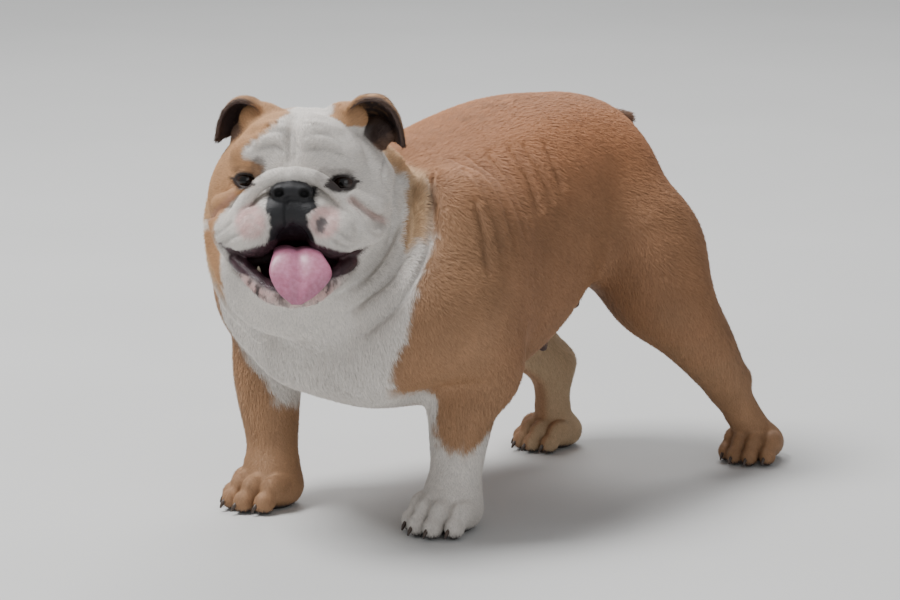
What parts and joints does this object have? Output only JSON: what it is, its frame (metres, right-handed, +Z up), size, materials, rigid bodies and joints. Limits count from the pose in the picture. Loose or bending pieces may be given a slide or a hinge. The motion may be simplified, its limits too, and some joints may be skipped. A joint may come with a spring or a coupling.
{
  "type": "english bulldog",
  "caption": "Life-size still model of a standing bulldog with a turned head, open mouth and hanging tongue, short fawn and white coat.",
  "frame": {"origin": "on the floor under the middle of the model's box", "axes": "+Z up, the body lies along Y with the head towards -Y, the dog's left side towards +X"},
  "size_m": [0.3271, 0.6535, 0.4193],
  "materials": {
    "coat": "short dense fur, fawn with white face, throat, chest and one white front sock",
    "eye": "wet, glossy dark brown",
    "nose": "moist black leather with fine pebbling",
    "tongue": "moist pink",
    "tooth": "ivory, slightly worn",
    "claw": "dark horn"
  },
  "bodies": {
    "root": {"head": "coat", "neck": "coat", "torso": "coat", "tail": "coat", "leg_front_left": "coat", "leg_front_right": "coat", "leg_rear_left": "coat", "leg_rear_right": "coat", "ear_left": "coat", "ear_right": "coat", "eye_left": "eye", "eye_right": "eye", "nose": "nose", "tongue": "tongue", "canine_left": "tooth", "canine_right": "tooth", "claw_front_left_1": "claw", "claw_front_left_2": "claw", "claw_front_left_3": "claw", "claw_front_left_4": "claw", "claw_front_right_1": "claw", "claw_front_right_2": "claw", "claw_front_right_3": "claw", "claw_front_right_4": "claw", "claw_rear_left_1": "claw", "claw_rear_left_2": "claw", "claw_rear_left_3": "claw", "claw_rear_left_4": "claw", "claw_rear_right_1": "claw", "claw_rear_right_2": "claw", "claw_rear_right_3": "claw", "claw_rear_right_4": "claw"}
  },
  "joints": []
}
